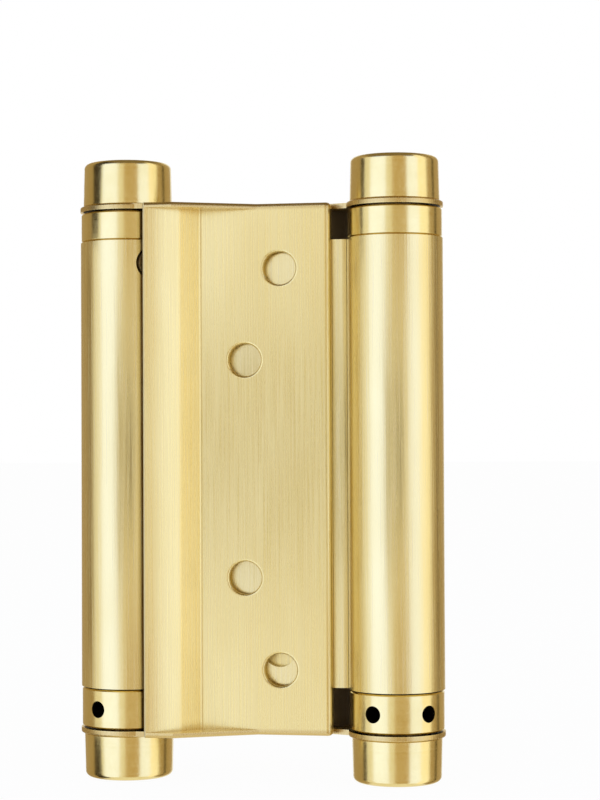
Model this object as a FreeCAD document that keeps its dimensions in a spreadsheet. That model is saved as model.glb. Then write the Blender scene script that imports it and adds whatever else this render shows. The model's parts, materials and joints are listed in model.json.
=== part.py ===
# Double action cafe hinge: two leaves, each on its own spring barrel, and a rolled web between the barrels.
# Millimetres. The origin is midway between the barrel axes, +Z runs up the barrels, -Y faces the front leaf.
import FreeCAD, Part
import math
import os

import Sketcher

SIZES = {
    # Barrels and the rolled web
    "barrel_radius": 6.85,
    "sheet_thickness": 1.2,
    "bend_radius": 0.8,
    "seam_gap": 0.1,
    "web_hole_radius": 2.35,
    "web_hole_x": 2.8,
    "web_hole_rise": 5.2,
    # Leaves
    "leaf_height": 76.0,
    "leaf_thickness": 1.5,
    "leaf_clearance": 0.2,
    "leaf_reach": 30.2,
    "leaf_edge_gap": 2.15,
    "free_edge_radius": 0.8,
    "joggle_radius": 0.5,
    "joggle_angle": 48.0,
    "lip_bend_radius": 3.0,
    "lip_tilt": 40.0,
    "lip_angle": 59.6,
    "lip_gap": 1.75,
    "lip_flatness": 9.55,
    "lip_sweep": 18.0,
    "ear_thickness": 0.75,
    "ear_over": 0.05,
    "ear_back": 0.6,
    "ear_shoulder": 1.45,
    "ear_tail_margin": 10.6,
    "ear_root": 4.15,
    "ear_edge_radius": 0.2,
    "ear_edge_share": 0.9,
    "front_edge_radius": 0.6,
    # Screw holes
    "screw_hole_radius": 2.35,
    "outer_hole_shift": 1.95,
    "inner_hole_shift": 3.15,
    "outer_hole_margin": 9.3,
    "inner_hole_margin": 22.4,
    "countersink_depth": 0.85,
    "hole_edge_radius": 0.35,
    # Spindles, caps and washers
    "spindle_radius": 2.4,
    "running_clearance": 0.05,
    "cap_step": 0.42,
    "cap_taper": 0.13,
    "cap_height": 6.4,
    "cap_edge_radius": 0.8,
    "cap_foot_chamfer": 0.15,
    "cap_bore_depth": 4.3,
    "spindle_end_room": 0.3,
    "washer_radius": 4.8,
    "washer_thickness": 0.5,
    "washer_side_room": 0.15,
    # Collars
    "collar_step": 0.1,
    "top_collar_height": 4.15,
    "tension_collar_height": 5.5,
    "collar_edge": 0.2,
    "ear_gap": 0.25,
    "top_seam": 0.05,
    "tension_seam": 0.2,
    "shank_length": 7.0,
    "fixed_shank_room": 0.05,
    "turning_shank_room": 0.1,
    "tommy_hole_radius": 1.2,
    "tommy_hole_depth": 3.6,
    "tommy_hole_count": 5,
    "tommy_hole_drop": 2.7,
    "left_collar_turn": -27.7,
    "right_collar_turn": 12.5,
    # Anchor pins
    "anchor_hole_radius": 2.4,
    "anchor_pin_radius": 2.0,
    "anchor_pin_fit": 0.02,
    "anchor_inset": 0.1,
    "anchor_depth": 3.4,
    "anchor_drop": 3.3,
    "anchor_angle": 44.5,
    # Springs
    "coil_room": 0.75,
    "coil_width": 1.4,
    "coil_height": 2.2,
    "coil_turns": 10,
    "coil_seat_room": 0.2,
    "tang_length": 2.4,
    "tang_width": 1.6,
    "tang_room": 0.2,
}

# Sizes that follow from the others
DERIVED = {
    "axis_offset": "(leaf_reach + barrel_radius + leaf_edge_gap) / 2",
    "collar_face": "leaf_height / 2 - ear_thickness - ear_gap",
    "barrel_top": "collar_face - top_collar_height - top_seam",
    "barrel_bottom": "collar_face - tension_collar_height - tension_seam",
    "web_hole_z": "barrel_bottom - web_hole_rise",
    "leaf_inner_y": "sheet_thickness / 2 + leaf_clearance",
    "leaf_outer_y": "leaf_inner_y + leaf_thickness",
    "lip_reach": "barrel_radius + leaf_thickness + lip_gap",
    "lip_start_x": "lip_reach * sin(lip_angle)",
    "lip_start_y": "lip_reach * cos(lip_angle)",
    "lip_radius": "barrel_radius + lip_flatness",
    "lip_centre_x": "lip_start_x - lip_radius * sin(lip_tilt)",
    "lip_centre_y": "lip_radius * cos(lip_tilt) - lip_start_y",
    "lip_end_angle": "lip_tilt - lip_sweep",
    "lip_end_x": "lip_centre_x + (lip_radius - leaf_thickness) * sin(lip_end_angle)",
    "lip_end_y": "lip_centre_y - (lip_radius - leaf_thickness) * cos(lip_end_angle)",
    "slope_start_x": "lip_start_x + lip_bend_radius * (sin(joggle_angle) - sin(lip_tilt))",
    "slope_start_y": "lip_start_y + lip_bend_radius * (cos(joggle_angle) - cos(lip_tilt))",
    "joggle_y": "leaf_outer_y + joggle_radius",
    "joggle_rise": "(slope_start_y - joggle_y) * cos(joggle_angle) + joggle_radius",
    "flat_start_x": "slope_start_x + joggle_rise / sin(joggle_angle)",
    "hole_middle_x": "(flat_start_x + leaf_reach) / 2",
    "outer_hole_x": "hole_middle_x + outer_hole_shift",
    "inner_hole_x": "hole_middle_x - inner_hole_shift",
    "outer_hole_z": "leaf_height / 2 - outer_hole_margin",
    "inner_hole_z": "leaf_height / 2 - inner_hole_margin",
    "ear_radius": "barrel_radius + ear_over",
    "lobe_end_x": "ear_radius * sin(lip_end_angle)",
    "lobe_end_y": "-ear_radius * cos(lip_end_angle)",
    "lobe_link": "sqrt((lip_end_x - lobe_end_x)^2 + (lip_end_y - lobe_end_y)^2)",
    "lobe_step": "ear_radius - abs(lobe_end_x * lip_end_y - lobe_end_y * lip_end_x) / lobe_link",
    "ear_edge": "min(ear_edge_radius; lobe_step * ear_edge_share)",
    "ear_shoulder_x": "barrel_radius + ear_shoulder",
    "ear_root_x": "barrel_radius + ear_root",
    "ear_tail_x": "leaf_reach - ear_tail_margin",
    "cap_radius": "barrel_radius - cap_step",
    "cap_end_radius": "cap_radius - cap_taper",
    "collar_radius": "barrel_radius - collar_step",
    "tommy_hole_z": "collar_face - tommy_hole_drop",
    "anchor_z": "barrel_top - anchor_drop",
    "coil_inner_radius": "barrel_radius - sheet_thickness - coil_room - coil_width",
}

SIDES = {"left": -1, "right": 1}
LEAF_NAMES = {"left": "front_leaf", "right": "rear_leaf"}
ENDS = {"top": 1, "bottom": -1}
HALF_TURN = 180
FULL_TURN = 360
TOLERANCE = 1e-6

doc = FreeCAD.newDocument("cafe_hinge")
sheet = doc.addObject("Spreadsheet::Sheet", "Sizes")
cells = {alias: str(value) for alias, value in SIZES.items()}
cells.update({alias: f"={formula}" for alias, formula in DERIVED.items()})
for row, (alias, content) in enumerate(cells.items(), start=1):
    sheet.set(f"A{row}", alias)
    sheet.set(f"B{row}", content)
    sheet.setAlias(f"B{row}", alias)
doc.recompute()


def size(alias):
    """The expression that reads one size."""
    return f"Sizes.{alias}"


def number(expression):
    """An expression's value now."""
    return float(sheet.evalExpression(expression))


def new_body(label):
    body = doc.addObject("PartDesign::Body", label)
    body.Label = label
    return body


def origin_feature(body, role):
    return next(feature for feature in body.Origin.OriginFeatures if feature.Role == role)


def new_sketch(body, name, plane, height=None):
    """A sketch on one of the body's own planes, lifted by the expression height."""
    sketch = body.newObject("Sketcher::SketchObject", name)
    sketch.AttachmentSupport = (origin_feature(body, plane), [""])
    sketch.MapMode = "FlatFace"
    if height is not None:
        sketch.setExpression("AttachmentOffset.Base.z", height)
    return sketch


def bind(sketch, kind, *where_and_expression):
    """Adds one constraint and ties its value to an expression."""
    *where, expression = where_and_expression
    index = sketch.addConstraint(Sketcher.Constraint(kind, *where, number(expression)))
    sketch.setExpression(f"Constraints[{index}]", expression)


def arc_between(start, end, radius, turn, long_way):
    """An arc from start to end, turning left for turn 1 and right for turn -1."""
    chord = end - start
    rise = math.sqrt(max(radius**2 - (chord.Length / 2) ** 2, 0.0))
    side = turn if not long_way else -turn
    across = FreeCAD.Vector(-chord.y, chord.x, 0) / chord.Length
    centre = (start + end) / 2 + across * rise * side
    first, last = (start, end) if turn > 0 else (end, start)
    angles = [math.atan2(point.y - centre.y, point.x - centre.x) for point in (first, last)]
    circle = Part.Circle(centre, FreeCAD.Vector(0, 0, 1), radius)
    return Part.ArcOfCircle(circle, angles[0], angles[1])


def closed_outline(sketch, steps):
    """Draws a closed outline. A step is (x, y), or (x, y, radius, turn[, long]) for an arc to the next."""
    corners = [FreeCAD.Vector(number(step[0]), number(step[1]), 0) for step in steps]
    ends = []
    for index, step in enumerate(steps):
        start = corners[index]
        end = corners[(index + 1) % len(steps)]
        if len(step) == 2:
            sketch.addGeometry(Part.LineSegment(start, end), False)
            ends.append((1, 2))
            continue
        long_way = step[-1] == "long"
        sketch.addGeometry(arc_between(start, end, number(step[2]), step[3], long_way), False)
        ends.append((1, 2) if step[3] > 0 else (2, 1))
    for index in range(len(steps)):
        after = (index + 1) % len(steps)
        sketch.addConstraint(Sketcher.Constraint("Coincident", index, ends[index][1], after, ends[after][0]))
    for index, step in enumerate(steps):
        bind(sketch, "DistanceX", -1, 1, index, ends[index][0], step[0])
        bind(sketch, "DistanceY", -1, 1, index, ends[index][0], step[1])
        if len(step) > 2:
            bind(sketch, "Radius", index, step[2])


def circle_at(sketch, x, y, radius):
    centre = FreeCAD.Vector(number(x), number(y), 0)
    index = sketch.addGeometry(Part.Circle(centre, FreeCAD.Vector(0, 0, 1), number(radius)), False)
    bind(sketch, "DistanceX", -1, 1, index, 3, x)
    bind(sketch, "DistanceY", -1, 1, index, 3, y)
    bind(sketch, "Radius", index, radius)


def pad(body, sketch, length, name, symmetric=False):
    feature = body.newObject("PartDesign::Pad", name)
    feature.Profile = sketch
    feature.SideType = "Symmetric" if symmetric else "One side"
    feature.setExpression("Length", length)
    body.Tip = feature
    return feature


def cut_through(body, sketch, name):
    """Cuts a sketch through the whole body, both ways, and checks that it took something away."""
    doc.recompute()
    before = body.Shape.Volume
    feature = body.newObject("PartDesign::Pocket", name)
    feature.Profile = sketch
    feature.Type = "ThroughAll"
    feature.SideType = "Symmetric"
    body.Tip = feature
    doc.recompute()
    if not body.Shape.Volume < before:
        raise ValueError(f"{name} cuts nothing")


def cut_depth(body, sketch, depth, name, reverse=False):
    """Cuts a sketch to a depth on one side, and checks that it took something away."""
    doc.recompute()
    before = body.Shape.Volume
    feature = body.newObject("PartDesign::Pocket", name)
    feature.Profile = sketch
    feature.Reversed = reverse
    feature.setExpression("Length", depth)
    body.Tip = feature
    doc.recompute()
    if not body.Shape.Volume < before:
        raise ValueError(f"{name} cuts nothing")
    return feature


def revolve(body, sketch, name):
    feature = body.newObject("PartDesign::Revolution", name)
    feature.Profile = sketch
    feature.ReferenceAxis = (sketch, ["V_Axis"])
    feature.Angle = FULL_TURN
    body.Tip = feature


def dress(body, kind, name, amount, wanted):
    """Adds a fillet or chamfer to the edges that wanted picks, sized by the expression amount."""
    doc.recompute()
    base = body.Tip
    edges = [f"Edge{i}" for i, edge in enumerate(base.Shape.Edges, start=1) if wanted(edge)]
    feature = body.newObject(f"PartDesign::{kind}", name)
    feature.Base = (base, edges)
    feature.setExpression("Radius" if kind == "Fillet" else "Size", amount)
    body.Tip = feature


def on_barrel(body, side, turn=None):
    """Moves a body to its barrel's axis. The right side is the left one turned half round."""
    sign = SIDES[side]
    half_turn = 0 if side == "left" else HALF_TURN
    body.setExpression("Placement.Base.x", f"{sign} * {size('axis_offset')}")
    angle = f"{half_turn}" if turn is None else f"{half_turn} + {turn}"
    body.Placement.Rotation = FreeCAD.Rotation(FreeCAD.Vector(0, 0, 1), number(angle))
    body.setExpression("Placement.Rotation.Angle", angle)


def aim_at_anchor(sketch, distance):
    """Turns a sketch on the XZ plane to face along the anchor pin, at a distance from the barrel's axis."""
    angle = size("anchor_angle")
    sketch.AttachmentOffset = FreeCAD.Placement(
        FreeCAD.Vector(0, 0, 0), FreeCAD.Rotation(FreeCAD.Vector(0, 1, 0), number(angle))
    )
    sketch.setExpression("AttachmentOffset.Rotation.Angle", angle)
    sketch.setExpression("AttachmentOffset.Base.x", f"{distance} * sin({angle})")
    sketch.setExpression("AttachmentOffset.Base.z", f"{distance} * cos({angle})")


def make_web():
    """The flat web and both barrels, rolled from one sheet."""
    body = new_body("barrel_web")
    half = f"({size('sheet_thickness')} / 2)"
    mean_roll = f"({size('barrel_radius')} - {half})"
    mean_bend = f"({size('bend_radius')} + {half})"
    reach = f"({mean_roll} + {mean_bend})"
    run = f"sqrt({reach}^2 - {mean_bend}^2)"
    axis = size("axis_offset")
    bend_x = f"{axis} - {run}"
    inner = f"({size('barrel_radius')} - {size('sheet_thickness')})"
    outer = size("barrel_radius")
    seam = f"({half} + {size('seam_gap')}) / {outer}"
    seam_cos = f"sqrt(1 - ({seam})^2)"
    along = f"{run} / {reach}"
    across = f"{mean_bend} / {reach}"
    sketch = new_sketch(body, "web_section", "XY_Plane", f"-{size('barrel_bottom')}")
    closed_outline(
        sketch,
        [
            ("0", f"-{half}"),
            (bend_x, f"-{half}", f"{mean_bend} + {half}", 1),
            (f"{axis} - {inner} * {along}", f"{inner} * {across}", inner, -1, "long"),
            (f"{axis} - {inner} * {seam_cos}", f"-{inner} * {seam}"),
            (f"{axis} - {outer} * {seam_cos}", f"-{outer} * {seam}", outer, 1, "long"),
            (f"{axis} - {outer} * {along}", f"{outer} * {across}", size("bend_radius"), -1),
            (bend_x, half),
            ("0", half),
        ],
    )
    half_sheet = pad(body, sketch, f"{size('barrel_top')} + {size('barrel_bottom')}", "rolled_half")
    both = body.newObject("PartDesign::PolarPattern", "rolled_sheet")
    both.Originals = [half_sheet]
    both.Axis = (origin_feature(body, "Z_Axis"), [""])
    both.Angle = FULL_TURN
    both.Occurrences = len(SIDES)
    body.Tip = both
    hole = new_sketch(body, "web_hole_place", "XZ_Plane")
    circle_at(hole, size("web_hole_x"), f"-{size('web_hole_z')}", size("web_hole_radius"))
    cut_through(body, hole, "web_hole")
    anchor = new_sketch(body, "anchor_hole_place", "XZ_Plane")
    aim_at_anchor(anchor, "0")
    anchor.setExpression("AttachmentOffset.Base.x", f"-{axis}")
    circle_at(anchor, "0", size("anchor_z"), size("anchor_hole_radius"))
    first = cut_depth(body, anchor, outer, "anchor_hole", reverse=True)
    pair = body.newObject("PartDesign::PolarPattern", "anchor_holes")
    pair.Originals = [first]
    pair.Axis = (origin_feature(body, "Z_Axis"), [""])
    pair.Angle = FULL_TURN
    pair.Occurrences = len(SIDES)
    body.Tip = pair


def make_leaf(side):
    """A leaf: the flat, the joggle and lip round its barrel, an ear at each end and four screw holes."""
    body = new_body(LEAF_NAMES[side])
    angle = size("joggle_angle")
    tilt = size("lip_tilt")
    lip_end = size("lip_end_angle")
    thick = size("leaf_thickness")
    inner_y = f"-{size('leaf_inner_y')}"
    outer_y = f"-{size('leaf_outer_y')}"
    free = size("leaf_reach")
    edge = size("free_edge_radius")
    lip = size("lip_radius")
    lip_x = size("lip_centre_x")
    lip_y = size("lip_centre_y")
    slope_x = size("slope_start_x")
    slope_y = f"-{size('slope_start_y')}"
    lip_bend = size("lip_bend_radius")
    joggle = size("joggle_radius")
    wide = f"({joggle} + {thick})"
    bend_x = size("flat_start_x")
    bend_y = f"-{size('joggle_y')}"
    lip_inner = f"({lip} - {thick})"
    end_outer = (f"{lip_x} + {lip} * sin({lip_end})", f"{lip_y} - {lip} * cos({lip_end})")
    end_inner = (size("lip_end_x"), size("lip_end_y"))
    section = new_sketch(body, "leaf_section", "XY_Plane")
    closed_outline(
        section,
        [
            (free, f"{outer_y} + {edge}", edge, -1),
            (f"{free} - {edge}", outer_y),
            (bend_x, outer_y, joggle, 1),
            (f"{bend_x} - {joggle} * sin({angle})", f"{bend_y} + {joggle} * cos({angle})"),
            (slope_x, slope_y, lip_bend, -1),
            (size("lip_start_x"), f"-{size('lip_start_y')}", lip, -1),
            end_outer,
            (*end_inner, lip_inner, 1),
            (
                f"{lip_x} + {lip_inner} * sin({tilt})",
                f"{lip_y} - {lip_inner} * cos({tilt})",
                f"{lip_bend} - {thick}",
                1,
            ),
            (f"{slope_x} - {thick} * sin({angle})", f"{slope_y} + {thick} * cos({angle})"),
            (f"{bend_x} - {wide} * sin({angle})", f"{bend_y} + {wide} * cos({angle})", wide, -1),
            (bend_x, inner_y),
            (free, inner_y),
        ],
    )
    pad(body, section, size("leaf_height"), "leaf_plate", symmetric=True)

    lobe = size("ear_radius")
    ear = new_sketch(body, "ear_outline", "XY_Plane", f"{size('leaf_height')} / 2 - {size('ear_thickness')}")
    closed_outline(
        ear,
        [
            (size("lobe_end_x"), size("lobe_end_y")),
            end_inner,
            end_outer,
            (size("ear_shoulder_x"), end_outer[1]),
            (size("ear_tail_x"), outer_y),
            (f"{free} - {edge}", outer_y, edge, 1),
            (free, f"{outer_y} + {edge}"),
            (free, inner_y),
            (size("ear_root_x"), inner_y),
            (f"sqrt({lobe}^2 - {size('ear_back')}^2)", size("ear_back"), lobe, 1, "long"),
        ],
    )
    top_ear = pad(body, ear, size("ear_thickness"), "top_ear")
    ears = body.newObject("PartDesign::Mirrored", "both_ears")
    ears.Originals = [top_ear]
    ears.MirrorPlane = (origin_feature(body, "XY_Plane"), [""])
    body.Tip = ears

    bore = new_sketch(body, "spindle_bore_place", "XY_Plane")
    circle_at(bore, "0", "0", f"{size('spindle_radius')} + {size('running_clearance')}")
    cut_through(body, bore, "spindle_bore")
    holes = new_sketch(body, "screw_hole_places", "XZ_Plane")
    for place in ("outer_hole", "inner_hole"):
        for sign in ENDS.values():
            circle_at(holes, size(f"{place}_x"), f"{sign} * {size(f'{place}_z')}", size("screw_hole_radius"))
    cut_through(body, holes, "screw_holes")

    hole_radius = number(size("screw_hole_radius"))

    def hole_rim(edge_shape, y):
        return (
            isinstance(edge_shape.Curve, Part.Circle)
            and math.isclose(edge_shape.Curve.Radius, hole_radius, abs_tol=TOLERANCE)
            and math.isclose(edge_shape.BoundBox.YMin, y, abs_tol=TOLERANCE)
            and math.isclose(edge_shape.BoundBox.YMax, y, abs_tol=TOLERANCE)
        )

    dress(body, "Chamfer", "countersinks", size("countersink_depth"), lambda e: hole_rim(e, number(inner_y)))
    dress(body, "Fillet", "hole_edges", size("hole_edge_radius"), lambda e: hole_rim(e, number(outer_y)))

    face_z = number(f"{size('leaf_height')} / 2")
    bore_radius = number(f"{size('spindle_radius')} + {size('running_clearance')}")
    lip_corner_x = number(end_outer[0])

    def face_edge(edge_shape):
        box = edge_shape.BoundBox
        flat = math.isclose(box.ZMin, box.ZMax, abs_tol=TOLERANCE)
        at_face = math.isclose(abs(box.ZMin), face_z, abs_tol=TOLERANCE)
        is_circle = isinstance(edge_shape.Curve, Part.Circle)
        is_bore = is_circle and edge_shape.Curve.Radius <= bore_radius + TOLERANCE
        return flat and at_face and not is_bore

    def front_edge(edge_shape):
        box = edge_shape.BoundBox
        outside = box.XMin > lip_corner_x - TOLERANCE and box.YMax < number(inner_y) - TOLERANCE
        return face_edge(edge_shape) and outside

    def lobe_edge(edge_shape):
        return face_edge(edge_shape) and edge_shape.BoundBox.XMin < 0

    dress(body, "Fillet", "front_edges", size("front_edge_radius"), front_edge)
    dress(body, "Fillet", "ear_edges", size("ear_edge"), lobe_edge)
    on_barrel(body, side)


def make_spindle(side):
    body = new_body(f"{side}_spindle")
    end = f"({size('leaf_height')} / 2 + {size('cap_bore_depth')} - {size('spindle_end_room')})"
    radius = size("spindle_radius")
    sketch = new_sketch(body, "spindle_section", "XZ_Plane")
    closed_outline(sketch, [("0", f"-{end}"), (radius, f"-{end}"), (radius, end), ("0", end)])
    revolve(body, sketch, "spindle_rod")
    on_barrel(body, side)


def make_cap(side, place):
    """A spindle cap: tapered, with a rounded end, a chamfered foot and a blind bore."""
    body = new_body(f"{side}_{place}_cap")
    sign = ENDS[place]
    foot = f"({size('leaf_height')} / 2)"
    end = f"({foot} + {size('cap_height')})"
    chamfer = size("cap_foot_chamfer")
    edge = size("cap_edge_radius")
    bore = f"({size('spindle_radius')} + {size('running_clearance')})"
    bore_end = f"({foot} + {size('cap_bore_depth')})"
    sketch = new_sketch(body, "cap_section", "XZ_Plane")
    closed_outline(
        sketch,
        [
            (bore, f"{sign} * {foot}"),
            (f"{size('cap_radius')} - {chamfer}", f"{sign} * {foot}"),
            (size("cap_radius"), f"{sign} * ({foot} + {chamfer})"),
            (size("cap_end_radius"), f"{sign} * ({end} - {edge})", edge, sign),
            (f"{size('cap_end_radius')} - {edge}", f"{sign} * {end}"),
            ("0", f"{sign} * {end}"),
            ("0", f"{sign} * {bore_end}"),
            (bore, f"{sign} * {bore_end}"),
        ],
    )
    revolve(body, sketch, "cap_turning")
    on_barrel(body, side)


def make_washer(side, place):
    body = new_body(f"{side}_{place}_washer")
    sign = ENDS[place]
    seat = f"({size('leaf_height')} / 2 - {size('ear_thickness')})"
    bore = f"({size('spindle_radius')} + {size('running_clearance')})"
    under = f"({seat} - {size('washer_thickness')})"
    sketch = new_sketch(body, "washer_section", "XZ_Plane")
    closed_outline(
        sketch,
        [
            (bore, f"{sign} * {under}"),
            (size("washer_radius"), f"{sign} * {under}"),
            (size("washer_radius"), f"{sign} * {seat}"),
            (bore, f"{sign} * {seat}"),
        ],
    )
    revolve(body, sketch, "washer_ring")
    on_barrel(body, side)


def turn_collar(body, sign, barrel_end, seam, shank_radius):
    """Turns a collar: the visible ring, a recess for the washer and a shank that goes into the barrel."""
    ear = f"({size('leaf_height')} / 2 - {size('ear_thickness')})"
    face = size("collar_face")
    floor = f"({ear} - {size('washer_thickness')} - {size('running_clearance')})"
    recess = f"({size('washer_radius')} + {size('washer_side_room')})"
    shoulder = f"({barrel_end} + {seam})"
    shank_end = f"({barrel_end} - {size('shank_length')})"
    bore = f"({size('spindle_radius')} + {size('running_clearance')})"
    edge = size("collar_edge")
    ring = size("collar_radius")
    sketch = new_sketch(body, "collar_section", "XZ_Plane")
    closed_outline(
        sketch,
        [
            (bore, f"{sign} * {shank_end}"),
            (shank_radius, f"{sign} * {shank_end}"),
            (shank_radius, f"{sign} * {shoulder}"),
            (f"{ring} - {edge}", f"{sign} * {shoulder}"),
            (ring, f"{sign} * ({shoulder} + {edge})"),
            (ring, f"{sign} * ({face} - {edge})"),
            (f"{ring} - {edge}", f"{sign} * {face}"),
            (recess, f"{sign} * {face}"),
            (recess, f"{sign} * {floor}"),
            (bore, f"{sign} * {floor}"),
        ],
    )
    revolve(body, sketch, "collar_turning")
    slot = new_sketch(body, "spring_slot_place", "XY_Plane", f"{sign} * {shank_end}")
    half = f"({size('tang_width')} / 2 + {size('tang_room')})"
    slot_inner = f"({size('coil_inner_radius')} - {size('tang_room')})"
    slot_outer = f"({size('coil_inner_radius')} + {size('coil_width')} + {size('tang_room')})"
    closed_outline(
        slot,
        [(slot_inner, f"-{half}"), (slot_outer, f"-{half}"), (slot_outer, half), (slot_inner, half)],
    )
    cut_depth(body, slot, f"{size('tang_length')} + {size('tang_room')}", "spring_slot", reverse=sign > 0)


def make_top_collar(side):
    """The fixed collar, held in the barrel by its anchor pin."""
    body = new_body(f"{side}_top_collar")
    shank = f"({size('barrel_radius')} - {size('sheet_thickness')} - {size('fixed_shank_room')})"
    turn_collar(body, ENDS["top"], size("barrel_top"), size("top_seam"), shank)
    hole = new_sketch(body, "anchor_hole_place", "XZ_Plane")
    aim_at_anchor(hole, "0")
    circle_at(hole, "0", size("anchor_z"), f"{size('anchor_pin_radius')} + {size('anchor_pin_fit')}")
    cut_depth(body, hole, size("barrel_radius"), "anchor_hole", reverse=True)
    on_barrel(body, side)


def make_anchor_pin(side):
    """The pin that fixes the top collar in its barrel, seen in the barrel wall."""
    body = new_body(f"{side}_anchor_pin")
    sketch = new_sketch(body, "pin_place", "XZ_Plane")
    aim_at_anchor(sketch, size("anchor_depth"))
    circle_at(sketch, "0", size("anchor_z"), size("anchor_pin_radius"))
    length = f"{size('barrel_radius')} - {size('anchor_inset')} - {size('anchor_depth')}"
    pad(body, sketch, length, "pin_rod")
    on_barrel(body, side)


def make_spring(side):
    """The torsion spring, from a tang in the tension collar up to a tang in the top collar."""
    body = new_body(f"{side}_spring")
    turn = size(f"{side}_collar_turn")
    low = f"({size('coil_seat_room')} - {size('barrel_bottom')} + {size('shank_length')})"
    high = f"({size('barrel_top')} - {size('shank_length')} - {size('coil_seat_room')})"
    inner = size("coil_inner_radius")
    outer = f"({inner} + {size('coil_width')})"
    wire = size("coil_height")
    wire_top = f"{low} + {wire}"
    section = new_sketch(body, "wire_section", "XZ_Plane")
    closed_outline(section, [(inner, low), (outer, low), (outer, wire_top), (inner, wire_top)])
    coil = body.newObject("PartDesign::AdditiveHelix", "coil")
    coil.Profile = section
    coil.ReferenceAxis = (section, ["V_Axis"])
    coil.Mode = "height-turns-angle"
    coil.setExpression("Height", f"{high} - {low} - {wire}")
    coil.setExpression("Turns", f"{size('coil_turns')} - {turn} / {FULL_TURN}")
    body.Tip = coil
    half = f"({size('tang_width')} / 2)"
    starts = {"bottom": (f"{low} - {size('tang_length')}", "0"), "top": (f"{high} - {wire} / 2", f"-{turn}")}
    for place, (start, angle) in starts.items():
        tang = new_sketch(body, f"{place}_tang_place", "XY_Plane")
        tang.AttachmentOffset = FreeCAD.Placement(
            FreeCAD.Vector(0, 0, 0), FreeCAD.Rotation(FreeCAD.Vector(0, 0, 1), number(angle))
        )
        tang.setExpression("AttachmentOffset.Base.z", start)
        tang.setExpression("AttachmentOffset.Rotation.Angle", angle)
        closed_outline(tang, [(inner, f"-{half}"), (outer, f"-{half}"), (outer, half), (inner, half)])
        pad(body, tang, f"{size('tang_length')} + {wire} / 2", f"{place}_tang")
    on_barrel(body, side, turn)


def make_tension_collar(side):
    """The turning collar, with radial holes for the tommy bar."""
    body = new_body(f"{side}_tension_collar")
    shank = f"({size('barrel_radius')} - {size('sheet_thickness')} - {size('turning_shank_room')})"
    turn_collar(body, ENDS["bottom"], size("barrel_bottom"), size("tension_seam"), shank)
    hole_floor = f"{size('collar_radius')} - {size('tommy_hole_depth')}"
    hole = new_sketch(body, "tommy_hole_place", "XZ_Plane", hole_floor)
    circle_at(hole, "0", f"-{size('tommy_hole_z')}", size("tommy_hole_radius"))
    first = cut_depth(body, hole, size("tommy_hole_depth"), "tommy_hole", reverse=True)
    ring = body.newObject("PartDesign::PolarPattern", "tommy_holes")
    ring.Originals = [first]
    ring.Axis = (origin_feature(body, "Z_Axis"), [""])
    ring.Angle = FULL_TURN
    ring.setExpression("Occurrences", size("tommy_hole_count"))
    body.Tip = ring
    on_barrel(body, side, size(f"{side}_collar_turn"))


make_web()
for barrel_side in SIDES:
    make_leaf(barrel_side)
    make_spindle(barrel_side)
    for barrel_end in ENDS:
        make_cap(barrel_side, barrel_end)
        make_washer(barrel_side, barrel_end)
    make_top_collar(barrel_side)
    make_tension_collar(barrel_side)
    make_anchor_pin(barrel_side)
    make_spring(barrel_side)

doc.recompute()
bodies = [item for item in doc.Objects if item.TypeId == "PartDesign::Body"]
for item in doc.Objects:
    if {"Invalid", "Error"} & set(item.State):
        raise ValueError(f"{item.Label} failed: {item.State}")
for body in bodies:
    if body.Shape.isNull() or not body.Shape.isValid() or len(body.Shape.Solids) != 1:
        raise ValueError(f"{body.Label} is not one valid solid")

os.makedirs("parts", exist_ok=True)
for body in bodies:
    body.Shape.exportStep(f"parts/{body.Label}.step")
    print(body.Label, round(body.Shape.Volume, 1), body.Shape.BoundBox)
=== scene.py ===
# Looks for the double action cafe hinge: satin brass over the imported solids, steel inside the barrels.
import json
import math

import bmesh
import bpy
from mathutils import Matrix, Vector


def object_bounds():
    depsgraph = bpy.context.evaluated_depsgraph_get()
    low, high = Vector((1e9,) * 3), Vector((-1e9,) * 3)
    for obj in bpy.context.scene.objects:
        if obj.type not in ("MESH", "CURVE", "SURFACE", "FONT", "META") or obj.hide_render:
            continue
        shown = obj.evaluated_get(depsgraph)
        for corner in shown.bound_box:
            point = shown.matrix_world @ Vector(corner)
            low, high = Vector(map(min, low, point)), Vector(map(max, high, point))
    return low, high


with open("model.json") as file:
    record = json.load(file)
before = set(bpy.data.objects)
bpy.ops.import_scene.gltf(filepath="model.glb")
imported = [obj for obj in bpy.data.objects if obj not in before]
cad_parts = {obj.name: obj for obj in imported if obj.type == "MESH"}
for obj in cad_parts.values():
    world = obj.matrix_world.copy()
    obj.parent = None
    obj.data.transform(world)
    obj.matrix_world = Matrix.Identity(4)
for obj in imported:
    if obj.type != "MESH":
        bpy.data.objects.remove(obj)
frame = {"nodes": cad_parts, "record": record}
cad_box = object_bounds()

MM = 0.001
MICRON = 0.000001

# Places on the hinge
BARREL_AXIS = 19.6 * MM
JOGGLE_START = 8.3 * MM
LIP_END_NEAR = 14.5 * MM
LIP_END_FAR = 17.0 * MM
LIP_CORNER = 6.7 * MM
WEB_END = 31.2 * MM
SHADE_START = WEB_END - 4.0 * MM
SHADE_FULL = WEB_END + 1.0 * MM
EDGE_START = 37.0 * MM
EDGE_FULL = 37.45 * MM
DRILLED_RADIUS = 6.5 * MM

# A leaf's face looks towards the web where its Y times the Y of its normal is below this
FACES_WEB = -0.4 * MM

# A leaf's face looks outward to its side where the X of its normal is above this
FACES_SIDE = 0.8

# The photograph's camera, fitted to the holes, edges and caps
CAMERA_PLACE = (57.14 * MM, -297.39 * MM, 4.3 * MM)
CAMERA_YAW = math.radians(9.8)
CAMERA_PITCH = math.radians(1.05)
CAMERA_ROLL = math.radians(-0.256)
CAMERA_LENS = 94.5
CAMERA_NEAR = 0.01

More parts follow.
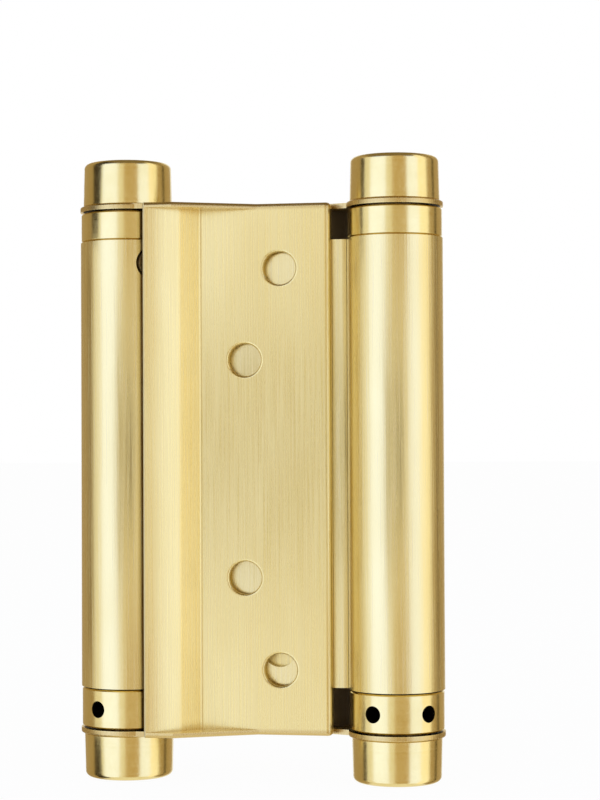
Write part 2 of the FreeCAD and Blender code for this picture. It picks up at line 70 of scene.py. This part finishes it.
# Brass and steel tones, linear
LEAF_BRASS = (0.85, 0.70, 0.305, 1)
LEAF_BRASS_DEEP = (0.77, 0.60, 0.225, 1)
BARREL_BRASS = (0.84, 0.71, 0.35, 1)
BARREL_BRASS_DEEP = (0.76, 0.61, 0.26, 1)
CAP_BRASS = (0.83, 0.69, 0.32, 1)
CAP_BRASS_DEEP = (0.75, 0.59, 0.23, 1)
# Painted shade over raw brass: dark brown on a leaf's faces inside its joggle and on its lip's sawn end,
# where shade falls
RAW_BRASS_PAINTED_SHADE = (0.34, 0.19, 0.03, 1)
# Painted shade: a darker band along the top and bottom edges of the leaves
EDGE_BRASS_PAINTED_SHADE = (0.64, 0.47, 0.18, 1)
# Painted highlight: pale matt colour on the broken corner of a lip's end
PAINTED_HIGHLIGHT_BRASS = (1.0, 0.86, 0.44, 1)
SHADED_BRASS = (0.23, 0.185, 0.135, 1)
# Painted shade: near black inside the drilled bore and holes of the collars
DRILLED_BRASS_PAINTED_SHADE = (0.035, 0.025, 0.012, 1)
PIN_BRASS = (0.86, 0.64, 0.27, 1)
PIN_BRASS_DEEP = (0.70, 0.49, 0.18, 1)
WASHER_BRASS = (0.45, 0.31, 0.12, 1)
WASHER_BRASS_DEEP = (0.34, 0.22, 0.08, 1)
BRIGHT_STEEL = (0.56, 0.56, 0.57, 1)
BRIGHT_STEEL_DEEP = (0.47, 0.47, 0.48, 1)
OILED_STEEL = (0.24, 0.235, 0.23, 1)
OILED_STEEL_DEEP = (0.16, 0.155, 0.15, 1)

# Pattern scales, per metre along X, Y and Z
LEAF_LINES = (5200, 5200, 50)
BARREL_LINES = (4200, 4200, 60)
SHEET_DRIFT = (140, 140, 45)
LATHE_DRIFT = (220, 220, 220)
LATHE_GRAIN = (2200, 2200, 900)
OIL_FILM = (700, 700, 700)
CAP_RINGS = 5200
PIN_RINGS = 3000
SPINDLE_RINGS = 4000

# Roughness from the smooth to the coarse end of a pattern
LEAF_ROUGH = (0.22, 0.34)
BARREL_ROUGH = (0.17, 0.30)
CAP_ROUGH = (0.15, 0.27)
PIN_ROUGH = (0.35, 0.5)
SPINDLE_ROUGH = (0.2, 0.3)
WIRE_ROUGH = (0.28, 0.5)
RAW_ROUGH = 0.5
BRUSH_SPREAD = 0.7
LINE_BREAKUP = 0.6

# The part of a noise that carries its contrast
NOISE_LOW = 0.3
NOISE_HIGH = 0.7

# Studio
DAYLIGHT = (0.22, 0.38, 1.0)
PURE_WHITE = (1, 1, 1, 1)
WHITE_CARD = (1.0, 0.98, 0.94, 1)
TAN_CARD = (1.0, 0.93, 0.78, 1)
BROWN_CARD = (1.0, 0.77, 0.44, 1)
FLOOR_REACH = 4.0
FLOOR_GAP = 0.2 * MM
FLOOR_WHITE = 0.96
SHED_LIGHT = 0.6

# Name, angle from the camera's side, distance, width, height and power
SOFT_BOXES = (
    ("left_soft_box", -46, 0.62, 0.50, 1.1, 2.3),
    ("right_soft_box", 52, 0.62, 0.53, 1.1, 2.0),
)

# Name, angle from the camera's side, distance, level, width, height, colour and glow
SIDE_CARDS = (
    ("camera_side_card", 10, 0.75, 0.0, 0.50, 1.4, BROWN_CARD, 0.64),
    ("camera_bench_card", 10, 0.70, 0.0, 0.47, 0.17, TAN_CARD, 0.92),
    ("lens_card", 5, 0.60, 0.0, 0.22, 0.045, TAN_CARD, 0.10),
    ("eye_level_card", -20, 0.50, 0.0, 0.17, 0.09, TAN_CARD, 0.62),
    ("upper_strip_card", -86, 0.046, 0.050, 0.0145, 0.04, BROWN_CARD, 0.05),
    ("lower_strip_card", -88, 0.046, -0.053, 0.0145, 0.030, BROWN_CARD, 0.05),
    ("left_deep_card", -104, 0.50, 0.0, 0.17, 0.15, BROWN_CARD, 0.28),
    ("left_brown_card", -126, 0.55, 0.0, 0.76, 1.4, BROWN_CARD, 0.46),
    ("right_brown_card", 119, 0.55, 0.0, 0.74, 1.4, BROWN_CARD, 0.50),
    ("right_strip_card", 112, 0.50, 0.0, 0.08, 1.4, BROWN_CARD, 0.10),
    ("right_white_card", 73, 0.50, 0.0, 0.24, 1.4, WHITE_CARD, 1.32),
)
TOP_CARD_PLACE = Vector((0, 0, 0.75))
TOP_CARD_SIDE = 2.0
TOP_CARD_GLOW = 0.25


class Finish:
    """One metal finish, built node by node from Object coordinates."""

    def __init__(self, name):
        self.material = bpy.data.materials.new(name)
        self.material.use_nodes = True
        self.nodes = self.material.node_tree.nodes
        self.links = self.material.node_tree.links
        self.nodes.clear()
        output = self.nodes.new("ShaderNodeOutputMaterial")
        self.metal = self.nodes.new("ShaderNodeBsdfPrincipled")
        self.metal.inputs["Metallic"].default_value = 1.0
        self.links.new(self.metal.outputs["BSDF"], output.inputs["Surface"])
        coordinates = self.nodes.new("ShaderNodeTexCoord")
        self.place = coordinates.outputs["Object"]
        self.normal = coordinates.outputs["Normal"]

    def split(self, vector):
        """The X, Y and Z of a vector."""
        node = self.nodes.new("ShaderNodeSeparateXYZ")
        self.links.new(vector, node.inputs["Vector"])
        return node.outputs["X"], node.outputs["Y"], node.outputs["Z"]

    def join(self, **parts):
        """A vector from its named parts, with 0 for the others."""
        node = self.nodes.new("ShaderNodeCombineXYZ")
        for name, value in parts.items():
            self.links.new(value, node.inputs[name])
        return node.outputs["Vector"]

    def stretched(self, scale, vector=None):
        """Object coordinates, stretched so that a pattern runs along one way."""
        mapping = self.nodes.new("ShaderNodeMapping")
        mapping.inputs["Scale"].default_value = scale
        self.links.new(vector or self.place, mapping.inputs["Vector"])
        return mapping.outputs["Vector"]

    def math(self, operation, first, second=None):
        node = self.nodes.new("ShaderNodeMath")
        node.operation = operation
        for socket, value in zip(node.inputs, (first, second)):
            if isinstance(value, (int, float)):
                socket.default_value = value
            elif value is not None:
                self.links.new(value, socket)
        return node.outputs["Value"]

    def size(self, value):
        return self.math("ABSOLUTE", value)

    def times(self, first, second):
        return self.math("MULTIPLY", first, second)

    def above(self, value, limit):
        return self.math("GREATER_THAN", value, limit)

    def below(self, value, limit):
        return self.math("LESS_THAN", value, limit)

    def average(self, first, second):
        return self.times(self.math("ADD", first, second), 0.5)

    def from_axis(self):
        """Distance from the nearer barrel axis."""
        x, y, _ = self.split(self.place)
        across = self.math("SUBTRACT", self.size(x), BARREL_AXIS)
        length = self.nodes.new("ShaderNodeVectorMath")
        length.operation = "LENGTH"
        self.links.new(self.join(X=across, Y=y), length.inputs[0])
        return length.outputs["Value"]

    def turned(self):
        """Distance from the nearer barrel axis and height, so that a pattern runs round the axis."""
        _, _, z = self.split(self.place)
        return self.join(X=self.from_axis(), Z=z)

    def noise(self, vector, detail=2.0, roughness=0.5):
        node = self.nodes.new("ShaderNodeTexNoise")
        node.inputs["Scale"].default_value = 1.0
        node.inputs["Detail"].default_value = detail
        node.inputs["Roughness"].default_value = roughness
        self.links.new(vector, node.inputs["Vector"])
        return node.outputs["Fac"]

    def range(self, value, low, high, from_low=NOISE_LOW, from_high=NOISE_HIGH):
        """The value, moved from one span to another and held at its ends."""
        node = self.nodes.new("ShaderNodeMapRange")
        node.inputs["From Min"].default_value = from_low
        node.inputs["From Max"].default_value = from_high
        node.inputs["To Min"].default_value = low
        node.inputs["To Max"].default_value = high
        self.links.new(value, node.inputs["Value"])
        return node.outputs["Result"]

    def tones(self, value, pale, deep):
        """A colour between two tones of the metal."""
        ramp = self.nodes.new("ShaderNodeValToRGB")
        low, high = ramp.color_ramp.elements
        low.position, low.color = NOISE_LOW, deep
        high.position, high.color = NOISE_HIGH, pale
        self.links.new(value, ramp.inputs["Fac"])
        return ramp.outputs["Color"]

    def covered(self, colour, mask, cover):
        """A colour, with a plain cover colour where the mask is 1."""
        mix = self.nodes.new("ShaderNodeMix")
        mix.data_type = "RGBA"
        sockets = {socket.name: socket for socket in mix.inputs if socket.enabled}
        self.links.new(mask, sockets["Factor"])
        self.links.new(colour, sockets["A"])
        sockets["B"].default_value = cover
        return next(out for out in mix.outputs if out.enabled)

    def paint(self, colour):
        self.links.new(colour, self.metal.inputs["Base Color"])

    def rough(self, value, low, high, raw_and_shade=None):
        """Roughness from the pattern, and coarser where the raw_and_shade mask is 1."""
        amount = self.range(value, low, high)
        if raw_and_shade is not None:
            amount = self.math("MAXIMUM", amount, self.times(raw_and_shade, RAW_ROUGH))
        self.links.new(amount, self.metal.inputs["Roughness"])

    def inner_faces(self):
        """1 on the faces of a leaf inside its joggle and beside its own barrel, left unpolished and given
        painted shade.
        """
        _, slope, _ = self.split(self.normal)
        x, y, _ = self.split(self.place)
        to_web = self.below(self.times(slope, y), FACES_WEB)
        to_barrel = self.times(x, self.math("SIGN", y))
        return self.times(to_web, self.above(to_barrel, JOGGLE_START))

    def edge_shade_band(self):
        """1 along the top and bottom edges of a leaf and round its ears, where they get painted shade."""
        _, _, z = self.split(self.place)
        return self.range(self.size(z), 0.0, 1.0, EDGE_START, EDGE_FULL)

    def past_web(self):
        """1 above and below the ends of the web, and less towards them."""
        _, _, z = self.split(self.place)
        return self.range(self.size(z), 0.0, 1.0, SHADE_START, SHADE_FULL)

    def cut_end(self):
        """Two masks: 1 on the sawn end of a leaf's lip, and 1 on the broken corner of that end, which gets
        a painted highlight.
        """
        slope, _, _ = self.split(self.normal)
        x, y, _ = self.split(self.place)
        apart = self.size(x)
        outward = self.times(slope, self.math("SIGN", x))
        lip = self.times(self.above(apart, LIP_END_NEAR), self.below(apart, LIP_END_FAR))
        end = self.times(self.above(outward, FACES_SIDE), lip)
        return end, self.times(end, self.above(self.size(y), LIP_CORNER))

    def dull(self, mask):
        """Lets the metal's mirror give way to a matt surface where the mask is 1."""
        self.links.new(self.math("SUBTRACT", 1.0, mask), self.metal.inputs["Metallic"])

    def spread_across(self, share):
        """Reflections stretched round the upright axis, across lines that run up and down."""
        tangent = self.nodes.new("ShaderNodeTangent")
        tangent.direction_type = "RADIAL"
        tangent.axis = "Z"
        self.metal.inputs["Anisotropic"].default_value = share
        self.links.new(tangent.outputs["Tangent"], self.metal.inputs["Tangent"])

    def scratch(self, value, depth):
        """Bump from the pattern, depth in metres."""
        bump = self.nodes.new("ShaderNodeBump")
        bump.inputs["Strength"].default_value = 1.0
        bump.inputs["Distance"].default_value = depth
        self.links.new(value, bump.inputs["Height"])
        self.links.new(bump.outputs["Normal"], self.metal.inputs["Normal"])


def brushed_brass(name, pale, deep, scale, depth, rough, raw_and_painted_light=False):
    """Sheet brass brushed up and down: fine long lines, with a slow drift of tone."""
    finish = Finish(name)
    lines = finish.noise(finish.stretched(scale), detail=3.0, roughness=LINE_BREAKUP)
    drift = finish.noise(finish.stretched(SHEET_DRIFT))
    colour = finish.tones(finish.average(lines, drift), pale, deep)
    raw_and_shade = None
    # Painted light on the leaves: shade inside the joggle, on the lip's sawn end, along the top and bottom
    # edges and past the web's ends, and a highlight on the lip's corner
    if raw_and_painted_light:
        inside = finish.inner_faces()
        sawn, corner = finish.cut_end()
        raw_and_shade = finish.math("MAXIMUM", inside, sawn)
        # Painted shade: a darker band along the top and bottom edges
        colour = finish.covered(colour, finish.edge_shade_band(), EDGE_BRASS_PAINTED_SHADE)
        # Painted shade: dark brown inside the joggle and on the lip's sawn end, over a coarser finish
        colour = finish.covered(colour, raw_and_shade, RAW_BRASS_PAINTED_SHADE)
        # Painted highlight: the lip's corner is pale and matt
        colour = finish.covered(colour, corner, PAINTED_HIGHLIGHT_BRASS)
        colour = finish.covered(colour, finish.times(inside, finish.past_web()), SHADED_BRASS)
        finish.dull(corner)
    finish.paint(colour)
    finish.rough(lines, *rough, raw_and_shade)
    finish.spread_across(BRUSH_SPREAD)
    finish.scratch(lines, depth)
    return finish.material


def turned_metal(name, pale, deep, rings_scale, depth, rough, drilled=None):
    """Metal from the lathe: fine rings round the barrel's axis, with near-black painted shade where it is
    drilled.
    """
    finish = Finish(name)
    round_axis = finish.stretched((rings_scale, 1, rings_scale), finish.turned())
    rings = finish.noise(round_axis, detail=3.0, roughness=LINE_BREAKUP)
    grain = finish.noise(finish.stretched(LATHE_GRAIN), detail=3.0, roughness=LINE_BREAKUP)
    drift = finish.noise(finish.stretched(LATHE_DRIFT))
    surface = finish.average(rings, grain)
    colour = finish.tones(finish.average(surface, drift), pale, deep)
    raw_and_shade = None
    if drilled is not None:
        raw_and_shade = finish.below(finish.from_axis(), drilled)
        # Painted shade: near black where the collar is drilled
        colour = finish.covered(colour, raw_and_shade, DRILLED_BRASS_PAINTED_SHADE)
    finish.paint(colour)
    finish.rough(surface, *rough, raw_and_shade)
    finish.scratch(surface, depth)
    return finish.material


def spring_wire(name):
    """Oiled spring wire: mottled dark steel."""
    finish = Finish(name)
    film = finish.noise(finish.stretched(OIL_FILM), detail=4.0, roughness=LINE_BREAKUP)
    finish.paint(finish.tones(film, OILED_STEEL, OILED_STEEL_DEEP))
    finish.rough(film, *WIRE_ROUGH)
    finish.scratch(film, 4 * MICRON)
    return finish.material


FINISHES = {
    "leaf_brass": brushed_brass(
        "leaf_brass", LEAF_BRASS, LEAF_BRASS_DEEP, LEAF_LINES, 8 * MICRON, LEAF_ROUGH, raw_and_painted_light=True
    ),
    "barrel_brass": brushed_brass(
        "barrel_brass", BARREL_BRASS, BARREL_BRASS_DEEP, BARREL_LINES, 9 * MICRON, BARREL_ROUGH
    ),
    "cap_brass": turned_metal(
        "cap_brass", CAP_BRASS, CAP_BRASS_DEEP, CAP_RINGS, 7 * MICRON, CAP_ROUGH
    ),
    "collar_brass": turned_metal(
        "collar_brass", CAP_BRASS, CAP_BRASS_DEEP, CAP_RINGS, 6 * MICRON, CAP_ROUGH, DRILLED_RADIUS
    ),
    "pin_brass": turned_metal(
        "pin_brass", PIN_BRASS, PIN_BRASS_DEEP, PIN_RINGS, 4 * MICRON, PIN_ROUGH
    ),
    "washer_brass": turned_metal(
        "washer_brass", WASHER_BRASS, WASHER_BRASS_DEEP, PIN_RINGS, 4 * MICRON, PIN_ROUGH
    ),
    "spindle_steel": turned_metal(
        "spindle_steel", BRIGHT_STEEL, BRIGHT_STEEL_DEEP, SPINDLE_RINGS, 3 * MICRON, SPINDLE_ROUGH
    ),
    "spring_steel": spring_wire("spring_steel"),
}

for subpart in frame["record"]["subparts"]:
    node = frame["nodes"][subpart["node"]]
    finish = FINISHES[subpart["material_slot"]]
    if not node.material_slots:
        node.data.materials.append(finish)
    for slot in node.material_slots:
        slot.material = finish


def seen_directly(nodes, links):
    """1 for rays from the camera and for what metal or glass shows, 0 for the light that they shed."""
    path = nodes.new("ShaderNodeLightPath")
    seen = path.outputs["Is Camera Ray"]
    for ray in ("Is Glossy Ray", "Is Transmission Ray"):
        either = nodes.new("ShaderNodeMath")
        either.operation = "MAXIMUM"
        links.new(seen, either.inputs[0])
        links.new(path.outputs[ray], either.inputs[1])
        seen = either.outputs["Value"]
    return seen


def glowing(name, colour, strength):
    """A new material that only glows, with its glow and its output."""
    material = bpy.data.materials.new(name)
    material.use_nodes = True
    nodes = material.node_tree.nodes
    nodes.clear()
    output = nodes.new("ShaderNodeOutputMaterial")
    glow = nodes.new("ShaderNodeEmission")
    glow.inputs["Color"].default_value = colour
    glow.inputs["Strength"].default_value = strength
    material.node_tree.links.new(glow.outputs["Emission"], output.inputs["Surface"])
    return material, glow, output


def floor_paint():
    """White paint that glows nearly to white where it is looked at, so that a soft shadow stays."""
    material, glow, output = glowing("floor_paint", PURE_WHITE, 1.0)
    nodes = material.node_tree.nodes
    links = material.node_tree.links
    paint = nodes.new("ShaderNodeBsdfDiffuse")
    paint.inputs["Color"].default_value = PURE_WHITE
    share = nodes.new("ShaderNodeMath")
    share.operation = "MULTIPLY"
    share.inputs[1].default_value = FLOOR_WHITE
    links.new(seen_directly(nodes, links), share.inputs[0])
    mix = nodes.new("ShaderNodeMixShader")
    links.new(share.outputs["Value"], mix.inputs["Fac"])
    links.new(paint.outputs["BSDF"], mix.inputs[1])
    links.new(glow.outputs["Emission"], mix.inputs[2])
    links.new(mix.outputs["Shader"], output.inputs["Surface"])
    return material


def studio_floor():
    """A wide pale floor just under the caps."""
    mesh = bpy.data.meshes.new("studio_floor")
    shape = bmesh.new()
    bmesh.ops.create_grid(shape, x_segments=1, y_segments=1, size=FLOOR_REACH)
    bmesh.ops.translate(shape, verts=shape.verts, vec=(0, 0, cad_box[0][2] - FLOOR_GAP))
    shape.to_mesh(mesh)
    shape.free()
    floor = bpy.data.objects.new("studio_floor", mesh)
    floor.data.materials.append(floor_paint())
    floor.visible_glossy = False
    bpy.context.scene.collection.objects.link(floor)


def around(angle, distance, level=0.0):
    """A place round the hinge: angle in degrees from the camera's side, positive to the camera's right."""
    to_camera = Vector((CAMERA_PLACE[0], CAMERA_PLACE[1], 0)).normalized()
    place = Matrix.Rotation(math.radians(angle), 4, "Z") @ (to_camera * distance)
    return Vector((place.x, place.y, level))


def facing_hinge(place):
    """The placement that points -Z at the middle of the hinge, with Y up."""
    return Matrix.Translation(place) @ (-place).to_track_quat("-Z", "Y").to_matrix().to_4x4()


def soft_box(name, angle, distance, width, height, power):
    """A tall daylight lamp beside the set."""
    lamp = bpy.data.lights.new(name, "AREA")
    lamp.shape = "RECTANGLE"
    lamp.size = width
    lamp.size_y = height
    lamp.energy = power
    lamp.color = DAYLIGHT
    box = bpy.data.objects.new(name, lamp)
    box.matrix_world = facing_hinge(around(angle, distance))
    bpy.context.scene.collection.objects.link(box)


def studio_card(name, place, width, height, colour, glow):
    """A plain card beside the set, seen only in the metal."""
    mesh = bpy.data.meshes.new(name)
    shape = bmesh.new()
    bmesh.ops.create_grid(shape, x_segments=1, y_segments=1, size=0.5)
    bmesh.ops.scale(shape, verts=shape.verts, vec=(width, height, 1))
    bmesh.ops.transform(shape, verts=shape.verts, matrix=facing_hinge(place))
    shape.to_mesh(mesh)
    shape.free()
    card = bpy.data.objects.new(name, mesh)
    card.data.materials.append(glowing(name + "_paint", colour, glow)[0])
    card.visible_camera = False
    card.visible_diffuse = False
    card.visible_shadow = False
    bpy.context.scene.collection.objects.link(card)


def white_world():
    """White where the camera or the metal looks, and an even lower light on everything else."""
    world = bpy.data.worlds.new("studio_air")
    world.use_nodes = True
    nodes = world.node_tree.nodes
    links = world.node_tree.links
    nodes.clear()
    output = nodes.new("ShaderNodeOutputWorld")
    mix = nodes.new("ShaderNodeMixShader")
    links.new(seen_directly(nodes, links), mix.inputs["Fac"])
    for socket, strength in ((1, SHED_LIGHT), (2, 1.0)):
        air = nodes.new("ShaderNodeBackground")
        air.inputs["Color"].default_value = PURE_WHITE
        air.inputs["Strength"].default_value = strength
        links.new(air.outputs["Background"], mix.inputs[socket])
    links.new(mix.outputs["Shader"], output.inputs["Surface"])
    bpy.context.scene.world = world


def photo_camera():
    lens = bpy.data.cameras.new("photo_camera")
    lens.lens = CAMERA_LENS
    lens.sensor_fit = "AUTO"
    lens.clip_start = CAMERA_NEAR
    camera = bpy.data.objects.new("photo_camera", lens)
    turn = (
        Matrix.Rotation(CAMERA_YAW, 4, "Z")
        @ Matrix.Rotation(math.pi / 2 + CAMERA_PITCH, 4, "X")
        @ Matrix.Rotation(CAMERA_ROLL, 4, "Z")
    )
    camera.matrix_world = Matrix.Translation(CAMERA_PLACE) @ turn
    bpy.context.scene.collection.objects.link(camera)
    bpy.context.scene.camera = camera


studio_floor()
white_world()
for soft_box_row in SOFT_BOXES:
    soft_box(*soft_box_row)
for name, angle, distance, level, width, height, colour, glow in SIDE_CARDS:
    studio_card(name, around(angle, distance, level), width, height, colour, glow)
studio_card("top_card", TOP_CARD_PLACE, TOP_CARD_SIDE, TOP_CARD_SIDE, BROWN_CARD, TOP_CARD_GLOW)
photo_camera()
bpy.context.scene.view_settings.view_transform = "Standard"
